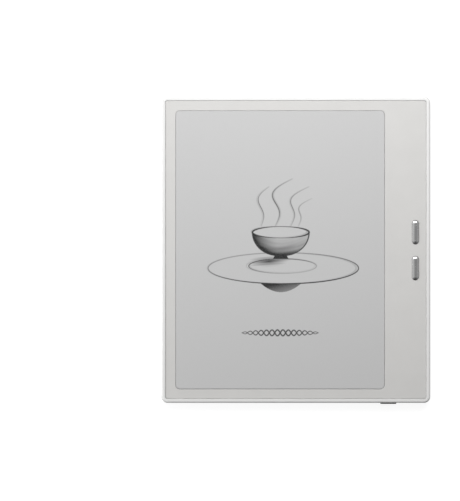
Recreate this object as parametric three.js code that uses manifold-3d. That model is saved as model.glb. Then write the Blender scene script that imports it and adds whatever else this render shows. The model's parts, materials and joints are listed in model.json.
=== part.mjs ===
// A 7-inch e-paper reader with two page buttons on a wide grip strip, lying on its back.
// Millimetres. +Z points out of the screen, +Y to the top of the page, +X to the grip side.
// The origin is the centre of the back face that the reader rests on.

import * as THREE from 'three';
import { mergeVertices } from 'three/addons/utils/BufferGeometryUtils.js';
import Module from 'manifold-3d';

const wasm = await Module();
wasm.setup();

// Body
const WIDTH = 137;
const HEIGHT = 156;
const THICKNESS = 6.4;
const CORNER_RADIUS = 3.2;
const EDGE_ROUND = 0.8; // rounding of the outer edges, front and back
const WALL = 2; // side walls, and the rim that they show round the front
const PANEL_GAP = 0.05; // round each panel that is set into another piece

// Heights of the layers, from the back
const COVER_OUTER = 0.3;
const SKIN_SEAT = 0.7;
const COVER_INNER = 1.3;
const BOARD_BOTTOM = 2.2;
const BOARD_TOP = 2.8;
const PLATE_BOTTOM = 3.9;
const PLATE_TOP = 4.4;
const LEDGE_TOP = 5.2;
const BEZEL_BOTTOM = 5.25;
const BEZEL_POCKET = 5.8;
const BEZEL_TOP = 6.2;

// Back skins, either side of a smooth groove
const SKIN_INSET = 1.7;
const SKIN_RADIUS = 1.5;
const GROOVE_CENTRE = 43;
const GROOVE_WIDTH = 1.9;

// Frame and plates
const LEDGE_WIDTH = 2.6;
const PLATE_INSET = 2.6;
const SCREW_INSET = 3.8;

// Screen: the display layers lie under the bezel, and the lens of the touch panel stands in its window
const WINDOW = { x: -7.95, y: -0.12, width: 106.6, height: 141.9, radius: 2.2 };
const PANEL_MARGIN = 1.6; // how far the display layers reach under the bezel
const EPAPER = { bottom: 4.42, top: 5 };
const LIGHT_GUIDE = { bottom: 5.05, top: 5.3 };
const TOUCH_PANEL = { bottom: 5.35, top: 5.65 };
const LENS = { gap: 0.11, top: 6.12 };
const GASKET = { innerMargin: 0.25, outerMargin: 1.4, bottom: 5.68, top: 5.78 };
const LIGHT_STRIP = { left: -58, right: 42, gap: 0.05, depth: 0.65, bottom: 4.85, top: 5.2 };
const POCKET_GAP = 0.5; // room in the bezel round the display layers
const FLEX_BEND = 2; // and beyond their grip side, where the flexes leave them

// Flexes: lines of [x, z] points, and places along Y
const FLEX_THICKNESS = 0.12;
const DISPLAY_FLEX = { y: 0, width: 24, bend: [[47, 4.65], [47.7, 4.65], [49.5, 3.4], [52.2, 3.4]] };
const TOUCH_FLEX = { y: 20, width: 8, bend: [[47, 5.6], [47.4, 5.6], [49.6, 3.4], [52.2, 3.4]] };
const BUTTON_FLEX = { y: 0, width: 5, bend: [[53.6, 3.15], [55.6, 3.15], [56.2, 3.35], [57.15, 3.35]] };
const FLEX_SLOT = { left: 47.2, right: 50.1, spare: 3 }; // through the chassis plate
const FLEX_CONNECTOR = { x: 51.4, width: 1.8, height: 0.42 };

// Page buttons: convex pills through the bezel, and the switches under them
const BUTTON = { x: 60.95, y: -0.3, pitch: 18.3, width: 3.56, length: 12.4, gap: 0.1, crown: 0.5 };
const BUTTON_YS = { upper: BUTTON.y + BUTTON.pitch / 2, lower: BUTTON.y - BUTTON.pitch / 2 };
const BUTTON_TOP = 6.7;
const BUTTON_FLANGE = { bottom: 4.75, height: 0.4, margin: 0.65 };
const SWITCH_BOARD = { bottom: 2.9, top: 3.4, width: 7.5, length: 41 };
const SWITCH = { size: 3.2, top: 4.3, floor: 3.7, bore: 0.8, plungerBottom: 4.15, plungerRadius: 0.6 };
const BOSS = { reach: 18.5, radius: 1.6, bore: 0.6, screwLength: 1.9 };
const BOSS_YS = { upper: BUTTON.y + BOSS.reach, lower: BUTTON.y - BOSS.reach };

// Power button: a bar through the lower wall with wings behind it, and its switch
const POWER = { x: 47.3, z: 3.25, width: 8.2, height: 1.8, stickOut: 0.65, gap: 0.15 };
const WING = { front: WALL + 0.05 - HEIGHT / 2, depth: 0.5, width: 10.2, height: 1.5 };
const POWER_SWITCH = { front: -74.5, back: -72.7, width: 3.2, top: 3.85 };
const POWER_PLUNGER = { width: 1.2, low: 3.05, high: 3.55, inside: 0.2, room: 0.6, clearance: 0.1 };

// Openings in the grip-side wall, and what lies behind them
const BEHIND_WALL = WIDTH / 2 - WALL - 0.1;
const PORT = { y: -34, z: 3.2, width: 9, height: 3.2, round: 1.5, wall: 0.3, back: 59.5 };
const PORT_TONGUE = { width: 6.7, height: 0.7, short: 1.3 };
const CARD = { y: -52, width: 13, height: 1.05, wall: 0.12, side: 0.6, back: 52 };
const MICROPHONE = { x: 63, y: -68, z: 3.3, radius: 0.4 };
const SPEAKER = { x: 57.5, y: 61, width: 16.4, length: 18, round: 1, bottom: 1.7, top: 3.8 };
const SPEAKER_SLOT = { count: 5, pitch: 2.4, length: 1.5, height: 0.9, z: 3 };
const SPEAKER_MESH = { thickness: 0.2, bottom: 2.2, top: 3.7 };

// Energy
const BATTERY = { x: -12, width: 80, length: 92, round: 1.5, bottom: 1.6, top: 3.7 };
const CELL_BOARD = { y: -30, width: 3.5, length: 24, bottom: 2.4, top: 3 };
const CELL_LEAD = { width: 3.4, thickness: 0.6, top: 3.75 };
const TAPE = { width: 60, length: 80 };

// Main board, along the grip side with a foot to the power button
const BOARD = { left: 46.6, right: 65, low: -73.8, high: 50, footLeft: 41.5, footTop: -64 };
const BOARD_NOTCH = { left: 56.6, halfLength: 21.5 };
const SHIELD = { x: 55.8, y: 34, width: 17, length: 15, height: 1, wall: 0.2 };
const ON_BOARD_GAP = 0.02;

// Radio and magnets
const ANTENNA = { left: 46, right: 60, gap: 0.15, thickness: 0.25, bottom: 1.7, top: 3.7 };
const ANTENNA_ROUTE = [[52.2, 49, 3.4], [48.2, 51.5, 3], [47.8, 62, 2.4], [48.5, 72, 2.4], [52, 74.8, 2.4]];
const CABLE_RADIUS = 0.35;
const MAGNET = { x: -61, y: 30, width: 3, length: 12, bottom: 1.4, top: 3.4 };

const SCREW = { headRadius: 1, headHeight: 0.5, shankRadius: 0.4, loose: 0.15, tight: 0.05 };
const CHASSIS_SCREWS = [
  [SCREW_INSET - WIDTH / 2, -45],
  [SCREW_INSET - WIDTH / 2, 45],
  [-20, SCREW_INSET - HEIGHT / 2],
  [-20, HEIGHT / 2 - SCREW_INSET],
  [60, SCREW_INSET - HEIGHT / 2],
  [62, HEIGHT / 2 - SCREW_INSET],
];
const BOARD_SCREWS = [[44.2, -68], [62.5, -62.3], [63, 24.2], [48.3, 46.5]];
const STANDOFF_RADIUS = 1.5;

// Snap hooks of the rear cover: the wall's direction as a turn about Z, and places along it
const HOOK = { length: 6, thickness: 0.6, reach: 0.5, gap: 0.15 };
const HOOK_HEIGHTS = { root: 0.7, barbBottom: 2.2, barbTop: 2.6 };
const CATCH = { reach: 0.6, bottom: 1.6, top: 2.1 };
const HOOK_WALLS = [
  { turn: Math.PI, half: WIDTH / 2, places: [-56, -18, 18, 56] },
  { turn: Math.PI / 2, half: HEIGHT / 2, places: [-40, 0, 42] },
  { turn: -Math.PI / 2, half: HEIGHT / 2, places: [-42, 0, 34] },
  { turn: 0, half: WIDTH / 2, places: [-22.5, 26] },
];

const OVERLAP = 0.1; // how far joined forms reach into each other
const BEYOND = 1; // how far cutting forms reach past what they cut
const ARC_STEPS = 3; // half the segments in each arc of an outline
const PILL_STEPS = 5; // the same, for the page buttons' round ends
const ROUND_STEPS = 12; // segments round a small hole, post or screw
const ROUND_SHARE = 0.49; // of a bar's height: the corner radius that makes its ends round

const plastic = (color, roughness = 0.5) =>
  new THREE.MeshStandardMaterial({ color, roughness, metalness: 0 });
const metal = (color, roughness = 0.35) =>
  new THREE.MeshStandardMaterial({ color, roughness, metalness: 0.9 });

// ---------------------------------------------------------------- shapes

function roundedRect(width, height, radius, x = 0, y = 0) {
  const shape = new THREE.Shape();
  const [left, right] = [x - width / 2, x + width / 2];
  const [low, high] = [y - height / 2, y + height / 2];
  shape.moveTo(left + radius, low);
  shape.absarc(right - radius, low + radius, radius, -Math.PI / 2, 0);
  shape.absarc(right - radius, high - radius, radius, 0, Math.PI / 2);
  shape.absarc(left + radius, high - radius, radius, Math.PI / 2, Math.PI);
  shape.absarc(left + radius, low + radius, radius, Math.PI, Math.PI * 1.5);
  return shape;
}

// A rectangle along Y with half-round ends
function pill(width, length, x, y) {
  const shape = new THREE.Shape();
  const reach = (length - width) / 2;
  shape.absarc(x, y + reach, width / 2, 0, Math.PI);
  shape.absarc(x, y - reach, width / 2, Math.PI, Math.PI * 2);
  return shape;
}

// The body's outline, moved inwards
function bodyOutline(inset) {
  const radius = Math.max(CORNER_RADIUS - inset, 0.5);
  return roundedRect(WIDTH - 2 * inset, HEIGHT - 2 * inset, radius);
}

// The bezel's window, with a margin added all round
function windowOutline(margin) {
  const { x, y, width, height, radius } = WINDOW;
  return roundedRect(width + 2 * margin, height + 2 * margin, radius, x, y);
}

function slab(shape, bottom, top, curveSegments = ARC_STEPS) {
  const options = { depth: top - bottom, bevelEnabled: false, curveSegments };
  return new THREE.ExtrudeGeometry(shape, options).translate(0, 0, bottom);
}

// A slab whose two faces have rounded edges
function roundedSlab(shape, bottom, top, round, curveSegments = ARC_STEPS) {
  const options = {
    depth: top - bottom - 2 * round,
    bevelThickness: round,
    bevelSize: round,
    bevelOffset: -round,
    bevelSegments: 3,
    curveSegments,
  };
  return new THREE.ExtrudeGeometry(shape, options).translate(0, 0, bottom + round);
}

// A box between two corners
function block([x0, y0, z0], [x1, y1, z1]) {
  const box = new THREE.BoxGeometry(x1 - x0, y1 - y0, z1 - z0);
  return box.translate((x0 + x1) / 2, (y0 + y1) / 2, (z0 + z1) / 2);
}

function post(x, y, bottom, top, radius) {
  const cylinder = new THREE.CylinderGeometry(radius, radius, top - bottom, ROUND_STEPS);
  return cylinder.rotateX(Math.PI / 2).translate(x, y, (bottom + top) / 2);
}

// A rounded bar or slot along X, seen as a rounded rectangle in the YZ plane
function barAlongX(x0, x1, y, z, width, height, radius) {
  const shape = roundedRect(width, height, radius);
  const bar = slab(shape, 0, x1 - x0);
  return bar.rotateX(Math.PI / 2).rotateZ(Math.PI / 2).translate(x0, y, z);
}

// A rounded bar or slot along Y, seen as a rounded rectangle in the XZ plane
function barAlongY(y0, y1, x, z, width, height, radius) {
  const shape = roundedRect(width, height, radius);
  return slab(shape, 0, y1 - y0).rotateX(Math.PI / 2).translate(x, y1, z);
}

// A flat cable: a line of [x, z] points with a thickness below it, drawn out along Y
function ribbonAlongY(points, thickness, y, width) {
  const under = points.map(([x, z]) => [x, z - thickness]).reverse();
  const shape = new THREE.Shape([...points, ...under].map(([x, z]) => new THREE.Vector2(x, z)));
  return slab(shape, 0, width).rotateX(Math.PI / 2).translate(0, y + width / 2, 0);
}

// ---------------------------------------------------------------- joining and cutting

function solidOf(geometry) {
  const bare = geometry.clone();
  bare.deleteAttribute('normal');
  bare.deleteAttribute('uv');
  const merged = mergeVertices(bare, 1e-4);
  const vertProperties = new Float32Array(merged.attributes.position.array);
  const triVerts = new Uint32Array(merged.index.array);
  return new wasm.Manifold(new wasm.Mesh({ numProp: 3, vertProperties, triVerts }));
}

function geometryOf(solid) {
  const mesh = solid.getMesh();
  const geometry = new THREE.BufferGeometry();
  geometry.setAttribute('position', new THREE.BufferAttribute(mesh.vertProperties, 3));
  geometry.setIndex(new THREE.BufferAttribute(mesh.triVerts, 1));
  return geometry;
}

const join = (base, parts) =>
  geometryOf(parts.reduce((solid, part) => solid.add(solidOf(part)), solidOf(base)));
const cut = (base, tools) =>
  geometryOf(tools.reduce((solid, tool) => solid.subtract(solidOf(tool)), solidOf(base)));

// ---------------------------------------------------------------- casing

// The closed outer form of the frame and rear cover together
const bodyBlank = () => roundedSlab(bodyOutline(0), COVER_OUTER, THICKNESS, EDGE_ROUND);

function skinOutline(side, gap) {
  const edge = WIDTH / 2 - SKIN_INSET;
  const [left, right] =
    side === 'grip'
      ? [GROOVE_CENTRE + GROOVE_WIDTH / 2, edge]
      : [-edge, GROOVE_CENTRE - GROOVE_WIDTH / 2];
  const width = right - left + 2 * gap;
  const height = HEIGHT - 2 * SKIN_INSET + 2 * gap;
  return roundedRect(width, height, SKIN_RADIUS, (left + right) / 2);
}

// Calls make(place) for each hook's place and turns what it returns to that hook's wall
function atHooks(make) {
  return HOOK_WALLS.flatMap(({ turn, half, places }) =>
    places.map((place) => make(half - WALL, turn > 0 ? -place : place).rotateZ(turn)));
}

function hookStem(wall, place) {
  const outer = wall - CATCH.reach - HOOK.gap;
  const [from, to] = [place - HOOK.length / 2, place + HOOK.length / 2];
  const { root, barbTop } = HOOK_HEIGHTS;
  return block([outer - HOOK.thickness, from, root], [outer, to, barbTop]);
}

function hookBarb(wall, place) {
  const outer = wall - CATCH.reach - HOOK.gap;
  const [from, to] = [place - HOOK.length / 2, place + HOOK.length / 2];
  const { barbBottom, barbTop } = HOOK_HEIGHTS;
  return block([outer - OVERLAP, from, barbBottom], [outer + HOOK.reach, to, barbTop]);
}

function catchRib(wall, place) {
  const [from, to] = [place - HOOK.length / 2, place + HOOK.length / 2];
  return block([wall - CATCH.reach, from, CATCH.bottom], [wall + OVERLAP, to, CATCH.top]);
}

function rearCover() {
  const aboveSeam = slab(bodyOutline(-BEYOND), COVER_INNER, THICKNESS + BEYOND);
  const seats = ['main', 'grip'].map((side) =>
    slab(skinOutline(side, PANEL_GAP), -BEYOND, SKIN_SEAT));
  const shell = cut(bodyBlank(), [aboveSeam, ...seats]);
  return join(shell, [...atHooks(hookStem), ...atHooks(hookBarb)]);
}

const backSkin = (side) => slab(skinOutline(side, 0), 0, SKIN_SEAT - PANEL_GAP);

// Openings for the charging plug, the card, the microphone, the speaker and the power button
function wallOpenings() {
  const throughSide = (...section) => barAlongX(BEHIND_WALL, WIDTH / 2 + BEYOND, ...section);
  const plug = throughSide(PORT.y, PORT.z, PORT.width, PORT.height - PORT.wall, PORT.round - 0.1);
  const cardHeight = CARD.height - 0.1;
  const cardZ = BOARD_TOP + PANEL_GAP + CARD.height / 2;
  const card = throughSide(CARD.y, cardZ, CARD.width - 1, cardHeight, 0.4 * cardHeight);
  const { y: soundY, z: soundZ, radius } = MICROPHONE;
  const sound = throughSide(soundY, soundZ, 2 * radius, 2 * radius, ROUND_SHARE * 2 * radius);
  const { count, pitch, length, height, z: slotZ } = SPEAKER_SLOT;
  const slots = Array.from({ length: count }, (_, i) => {
    const y = SPEAKER.y + (i - (count - 1) / 2) * pitch;
    return throughSide(y, slotZ, length, height, ROUND_SHARE * height);
  });
  const width = POWER.width + 2 * POWER.gap;
  const powerHeight = POWER.height + 2 * POWER.gap;
  const [low, high] = [-HEIGHT / 2 - BEYOND, WALL + OVERLAP - HEIGHT / 2];
  const round = ROUND_SHARE * powerHeight;
  const power = barAlongY(low, high, POWER.x, POWER.z, width, powerHeight, round);
  return [plug, card, sound, ...slots, power];
}

function housingFrame() {
  const belowSeam = slab(bodyOutline(-BEYOND), COVER_OUTER - BEYOND, COVER_INNER);
  const inside = slab(bodyOutline(WALL), 0, THICKNESS + BEYOND);
  const walls = cut(bodyBlank(), [belowSeam, inside]);
  const ledgeShape = bodyOutline(WALL - OVERLAP);
  ledgeShape.holes.push(bodyOutline(WALL + LEDGE_WIDTH));
  const ledge = slab(ledgeShape, PLATE_TOP, LEDGE_TOP);
  const portHalf = PORT.width / 2 + 0.2;
  const portRoom = block(
    [PORT.back, PORT.y - portHalf, BOARD_BOTTOM],
    [WIDTH / 2 - WALL, PORT.y + portHalf, PORT.z + PORT.height / 2 + 0.1],
  );
  const holes = CHASSIS_SCREWS.map(([x, y]) =>
    post(x, y, PLATE_TOP - BEYOND, LEDGE_TOP + BEYOND, SCREW.shankRadius + SCREW.tight));
  return cut(join(walls, [ledge, ...atHooks(catchRib)]), [portRoom, ...holes, ...wallOpenings()]);
}

const pillOutline = (margin, y) =>
  pill(BUTTON.width + 2 * margin, BUTTON.length + 2 * margin, BUTTON.x, y);

function frontBezel() {
  const panel = slab(bodyOutline(WALL + PANEL_GAP), BEZEL_BOTTOM, BEZEL_TOP);
  const margin = PANEL_MARGIN + POCKET_GAP;
  const opening = slab(windowOutline(0), BEZEL_BOTTOM - BEYOND, BEZEL_TOP + BEYOND);
  const pocketShape = roundedRect(
    WINDOW.width + 2 * margin + FLEX_BEND,
    WINDOW.height + 2 * margin,
    WINDOW.radius,
    WINDOW.x + FLEX_BEND / 2,
    WINDOW.y,
  );
  const pocket = slab(pocketShape, BEZEL_BOTTOM - BEYOND, BEZEL_POCKET);
  const buttonHoles = Object.values(BUTTON_YS).map((y) =>
    slab(pillOutline(BUTTON.gap, y), BEZEL_BOTTOM - BEYOND, BEZEL_TOP + BEYOND, PILL_STEPS));
  const bosses = Object.values(BOSS_YS).map((y) =>
    post(BUTTON.x, y, SWITCH_BOARD.top + PANEL_GAP, BEZEL_BOTTOM + OVERLAP, BOSS.radius));
  const threads = Object.values(BOSS_YS).map((y) =>
    post(BUTTON.x, y, SWITCH_BOARD.top - BEYOND, BEZEL_BOTTOM, BOSS.bore));
  return cut(join(cut(panel, [opening, pocket, ...buttonHoles]), bosses), threads);
}

// ---------------------------------------------------------------- display

const displayLayer = ({ bottom, top }) => slab(windowOutline(PANEL_MARGIN), bottom, top);

// The touch layer with its lens, which fills the bezel's window
function touchPanel() {
  const lens = slab(windowOutline(-LENS.gap), TOUCH_PANEL.top - OVERLAP, LENS.top);
  return join(displayLayer(TOUCH_PANEL), [lens]);
}

function displayGasket() {
  const shape = windowOutline(GASKET.outerMargin);
  shape.holes.push(windowOutline(GASKET.innerMargin));
  return slab(shape, GASKET.bottom, GASKET.top);
}

function frontlightStrip() {
  const { left, right, gap, depth, bottom, top } = LIGHT_STRIP;
  const edge = WINDOW.y - WINDOW.height / 2 - PANEL_MARGIN - gap;
  return block([left, edge - depth, bottom], [right, edge, top]);
}

// The metal plate behind the display, with standoffs that the main board is screwed to
function chassisPlate() {
  const plate = slab(bodyOutline(PLATE_INSET), PLATE_BOTTOM, PLATE_TOP);
  const across = ([x0, y0], [x1, y1]) =>
    block([x0, y0, PLATE_BOTTOM - BEYOND], [x1, y1, PLATE_TOP + BEYOND]);
  const flexSlots = [DISPLAY_FLEX, TOUCH_FLEX].map(({ y, width }) => {
    const half = (width + FLEX_SLOT.spare) / 2;
    return across([FLEX_SLOT.left, y - half], [FLEX_SLOT.right, y + half]);
  });
  const portHalf = PORT.width / 2 + 0.3;
  const powerHalf = WING.width / 2 + 1.4;
  const openings = [
    across([BOARD_NOTCH.left, -BOARD_NOTCH.halfLength], [BOARD.right + 0.2, BOARD_NOTCH.halfLength]),
    ...flexSlots,
    across([PORT.back - 0.3, PORT.y - portHalf], [WIDTH / 2, PORT.y + portHalf]),
    across([POWER.x - powerHalf, -HEIGHT / 2], [POWER.x + powerHalf, POWER_SWITCH.back + 0.7]),
  ];
  const screwHoles = CHASSIS_SCREWS.map(([x, y]) =>
    post(x, y, PLATE_BOTTOM - BEYOND, PLATE_TOP + BEYOND, SCREW.shankRadius + SCREW.loose));
  const standoffs = BOARD_SCREWS.map(([x, y]) =>
    post(x, y, BOARD_TOP, PLATE_BOTTOM + OVERLAP, STANDOFF_RADIUS));
  const threads = BOARD_SCREWS.map(([x, y]) =>
    post(x, y, BOARD_TOP - BEYOND, PLATE_TOP + BEYOND, SCREW.shankRadius + SCREW.tight));
  return cut(join(cut(plate, [...openings, ...screwHoles]), standoffs), threads);
}

// ---------------------------------------------------------------- electronics

function mainBoard() {
  const { left, right, low, high, footLeft, footTop } = BOARD;
  const notch = BOARD_NOTCH;
  const shape = new THREE.Shape([
    [footLeft, low],
    [right, low],
    [right, -notch.halfLength],
    [notch.left, -notch.halfLength],
    [notch.left, notch.halfLength],
    [right, notch.halfLength],
    [right, high],
    [left, high],
    [left, footTop],
    [footLeft, footTop],
  ].map(([x, y]) => new THREE.Vector2(x, y)));
  const portNotch = block(
    [PORT.back - 0.3, PORT.y - PORT.width / 2 - 0.3, BOARD_BOTTOM - BEYOND],
    [right + BEYOND, PORT.y + PORT.width / 2 + 0.3, BOARD_TOP + BEYOND],
  );
  const holes = BOARD_SCREWS.map(([x, y]) =>
    post(x, y, BOARD_BOTTOM - BEYOND, BOARD_TOP + BEYOND, SCREW.shankRadius + SCREW.loose));
  return cut(slab(shape, BOARD_BOTTOM, BOARD_TOP), [portNotch, ...holes]);
}

// A chip or connector that sits on the main board
function onBoard(x, y, width, length, height) {
  const bottom = BOARD_TOP + ON_BOARD_GAP;
  return block(
    [x - width / 2, y - length / 2, bottom],
    [x + width / 2, y + length / 2, bottom + height],
  );
}

// A connector for the end of a flex
function flexConnector({ y, width }) {
  return onBoard(FLEX_CONNECTOR.x, y, FLEX_CONNECTOR.width, width, FLEX_CONNECTOR.height);
}

function shieldCan() {
  const { x, y, width, length, height, wall } = SHIELD;
  const inner = onBoard(x, y, width - 2 * wall, length - 2 * wall, height - wall);
  return cut(onBoard(x, y, width, length, height), [inner.translate(0, 0, -ON_BOARD_GAP / 2)]);
}

function portShell() {
  const { y, z, width, height, round, wall, back } = PORT;
  const outer = barAlongX(back, BEHIND_WALL, y, z, width, height, round);
  const size = [width - 2 * wall, height - 2 * wall];
  const inner = barAlongX(back + wall, BEHIND_WALL + BEYOND, y, z, ...size, round - wall);
  return cut(outer, [inner]);
}

function portTongue() {
  const { y, z, back, wall } = PORT;
  const { width, height, short } = PORT_TONGUE;
  return block(
    [back + wall + ON_BOARD_GAP, y - width / 2, z - height / 2],
    [BEHIND_WALL - short, y + width / 2, z + height / 2],
  );
}

function cardSlot() {
  const { y, width, height, wall, side, back } = CARD;
  const bottom = BOARD_TOP + PANEL_GAP;
  const half = width / 2;
  const outer = block([back, y - half, bottom], [BEHIND_WALL, y + half, bottom + height]);
  const mouth = block(
    [back + wall, y - half + side, bottom + wall],
    [BEHIND_WALL + BEYOND, y + half - side, bottom + height - wall],
  );
  return cut(outer, [mouth]);
}

function speaker() {
  const { x, y, width, length, round, bottom, top } = SPEAKER;
  return slab(roundedRect(width, length, round, x, y), bottom, top);
}

function speakerMesh() {
  const half = (SPEAKER_SLOT.count * SPEAKER_SLOT.pitch) / 2;
  const { thickness, bottom, top } = SPEAKER_MESH;
  return block(
    [BEHIND_WALL - thickness, SPEAKER.y - half, bottom],
    [BEHIND_WALL, SPEAKER.y + half, top],
  );
}

function antenna() {
  const { left, right, gap, thickness, bottom, top } = ANTENNA;
  const outer = HEIGHT / 2 - WALL - gap;
  return block([left, outer - thickness, bottom], [right, outer, top]);
}

function antennaCable() {
  const route = new THREE.CatmullRomCurve3(ANTENNA_ROUTE.map((point) => new THREE.Vector3(...point)));
  const section = new THREE.Shape();
  section.absarc(0, 0, CABLE_RADIUS, 0, Math.PI * 2);
  return new THREE.ExtrudeGeometry(section, { extrudePath: route, steps: 16, curveSegments: 4 });
}

function magnet(y) {
  const { x, width, length, bottom, top } = MAGNET;
  return block([x - width / 2, y - length / 2, bottom], [x + width / 2, y + length / 2, top]);
}

function screwAt(x, y, headBottom, length) {
  const top = headBottom + SCREW.headHeight;
  const head = post(x, y, headBottom, top, SCREW.headRadius);
  return join(head, [post(x, y, top - OVERLAP, top + length, SCREW.shankRadius)]);
}

// ---------------------------------------------------------------- battery

const CELL_EDGE = BATTERY.x + BATTERY.width / 2;

function batteryCell() {
  const { x, width, length, round, bottom, top } = BATTERY;
  return slab(roundedRect(width, length, round, x), bottom, top);
}

function batteryBoard() {
  const { y, width, length, bottom, top } = CELL_BOARD;
  const left = CELL_EDGE + 0.1;
  return block([left, y - length / 2, bottom], [left + width, y + length / 2, top]);
}

function batteryCable() {
  const { thickness, width, top } = CELL_LEAD;
  const start = CELL_EDGE + CELL_BOARD.width + 0.2;
  const low = CELL_BOARD.top;
  const points = [[start, low], [start + 8.3, low], [start + 13.3, top], [FLEX_SLOT.left, top]];
  return ribbonAlongY(points, thickness, CELL_BOARD.y, width);
}

function batteryTape() {
  const { width, length } = TAPE;
  return block(
    [BATTERY.x - width / 2, -length / 2, BATTERY.top + ON_BOARD_GAP],
    [BATTERY.x + width / 2, length / 2, PLATE_BOTTOM - ON_BOARD_GAP],
  );
}

// ---------------------------------------------------------------- buttons

// A page button: a convex pill over a flange that keeps it in its hole
function pageButton(y) {
  const { bottom, height, margin } = BUTTON_FLANGE;
  const blank = [pillOutline(0, y), bottom - BEYOND, BUTTON_TOP, BUTTON.crown, PILL_STEPS];
  const flange = slab(pillOutline(margin, y), bottom, bottom + height, PILL_STEPS);
  const below = slab(pillOutline(BEYOND, y), bottom - 2 * BEYOND, bottom);
  return cut(join(roundedSlab(...blank), [flange]), [below]);
}

function pageSwitchBase(y) {
  const { size, top, floor, bore } = SWITCH;
  const [x, half, bottom] = [BUTTON.x, size / 2, SWITCH_BOARD.top + ON_BOARD_GAP];
  const body = block([x - half, y - half, bottom], [x + half, y + half, top]);
  return cut(body, [post(x, y, floor, top + BEYOND, bore)]);
}

const pageSwitchPlunger = (y) =>
  post(BUTTON.x, y, SWITCH.plungerBottom, BUTTON_FLANGE.bottom, SWITCH.plungerRadius);

function pageSwitchBoard() {
  const { bottom, top, width, length } = SWITCH_BOARD;
  const board = slab(roundedRect(width, length, 1, BUTTON.x, BUTTON.y), bottom, top);
  const holes = Object.values(BOSS_YS).map((y) =>
    post(BUTTON.x, y, bottom - BEYOND, top + BEYOND, BOSS.bore));
  return cut(board, holes);
}

function powerButton() {
  const { x, z, width, height, stickOut } = POWER;
  const back = WING.front + WING.depth;
  const bar = barAlongY(-HEIGHT / 2 - stickOut, back, x, z, width, height, ROUND_SHARE * height);
  const wings = block(
    [x - WING.width / 2, WING.front, z - WING.height / 2],
    [x + WING.width / 2, back, z + WING.height / 2],
  );
  return join(bar, [wings]);
}

function powerSwitchBase() {
  const { front, back, width, top } = POWER_SWITCH;
  const { width: plunger, low, high, room, clearance } = POWER_PLUNGER;
  const { x } = POWER;
  const body = block(
    [x - width / 2, front, BOARD_TOP + ON_BOARD_GAP],
    [x + width / 2, back, top],
  );
  const half = plunger / 2 + 2 * clearance;
  const bore = block(
    [x - half, front - BEYOND, low - clearance],
    [x + half, front + room, high + clearance],
  );
  return cut(body, [bore]);
}

function powerSwitchPlunger() {
  const { width, low, high, inside } = POWER_PLUNGER;
  return block(
    [POWER.x - width / 2, WING.front + WING.depth, low],
    [POWER.x + width / 2, POWER_SWITCH.front + inside, high],
  );
}

// ---------------------------------------------------------------- the reader

const reader = new THREE.Group();

function add(name, geometry, material) {
  const mesh = new THREE.Mesh(geometry, material);
  mesh.name = name;
  reader.add(mesh);
}

const white = () => plastic(0xf2f1ef, 0.45);
const grained = () => plastic(0xe4e3e1, 0.75);
const black = () => plastic(0x1c1c1e, 0.6);
const green = () => plastic(0x1d5b38);
const amber = () => plastic(0xb8742a);
const cream = () => plastic(0xe8dcc0);
const gold = () => metal(0xc9a85a, 0.3);
const steel = () => metal(0xbfc1c4, 0.3);
const screwSteel = () => metal(0x8c8e92);

add('rear_cover', rearCover(), white());
add('back_skin', backSkin('main'), grained());
add('grip_skin', backSkin('grip'), grained());
add('housing_frame', housingFrame(), white());
add('front_bezel', frontBezel(), plastic(0xd4d1d0, 0.6));

add('touch_panel', touchPanel(), plastic(0xc8c8c6, 0.7));
add('light_guide', displayLayer(LIGHT_GUIDE), plastic(0xe8ecee, 0.2));
add('epaper_panel', displayLayer(EPAPER), plastic(0xbfc0bd, 0.8));
add('display_gasket', displayGasket(), plastic(0x2a2a2c, 0.9));
add('frontlight_strip', frontlightStrip(), cream());
add('chassis_plate', chassisPlate(), metal(0xb8bbbe, 0.4));
for (const [name, flex] of [['display', DISPLAY_FLEX], ['touch', TOUCH_FLEX]]) {
  add(`${name}_flex`, ribbonAlongY(flex.bend, FLEX_THICKNESS, flex.y, flex.width), amber());
  add(`${name}_connector`, flexConnector(flex), black());
}

add('main_board', mainBoard(), green());
add('shield_can', shieldCan(), steel());
add('processor_chip', onBoard(52.4, 34, 8, 9, 0.6), black());
add('memory_chip', onBoard(60, 34, 6, 9, 0.6), black());
add('power_chip', onBoard(50.5, -22, 5, 5, 0.7), black());
add('wireless_module', onBoard(56, 45.5, 9, 6, 0.8), steel());
add('hall_sensor', onBoard(63.3, 47.5, 1.4, 2.4, 0.6), black());
add('microphone', onBoard(MICROPHONE.x, MICROPHONE.y, 3, 2.4, 0.9), gold());

add('charging_port_shell', portShell(), steel());
add('charging_port_tongue', portTongue(), black());
add('memory_card_slot', cardSlot(), steel());
add('speaker', speaker(), black());
add('speaker_mesh', speakerMesh(), black());
add('antenna', antenna(), gold());
add('antenna_cable', antennaCable(), black());
add('cover_magnet_lower', magnet(-MAGNET.y), steel());
add('cover_magnet_upper', magnet(MAGNET.y), steel());

add('battery_cell', batteryCell(), metal(0x9a9ca0, 0.5));
add('battery_board', batteryBoard(), green());
add('battery_cable', batteryCable(), plastic(0xb03028, 0.6));
add('battery_connector', onBoard(49, CELL_BOARD.y, 3.4, 5, 0.95), cream());
add('battery_tape', batteryTape(), plastic(0xe6e6e6, 0.7));

for (const [side, y] of Object.entries(BUTTON_YS)) {
  add(`page_button_${side}`, pageButton(y), metal(0xa9abad, 0.35));
  add(`page_switch_base_${side}`, pageSwitchBase(y), black());
  add(`page_switch_plunger_${side}`, pageSwitchPlunger(y), cream());
}
add('page_switch_board', pageSwitchBoard(), green());
const { bend: buttonBend, y: buttonFlexY, width: buttonFlexWidth } = BUTTON_FLEX;
add('page_button_flex', ribbonAlongY(buttonBend, FLEX_THICKNESS, buttonFlexY, buttonFlexWidth), amber());

add('power_button', powerButton(), plastic(0x303134, 0.4));
add('power_switch_base', powerSwitchBase(), black());
add('power_switch_plunger', powerSwitchPlunger(), cream());

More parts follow.
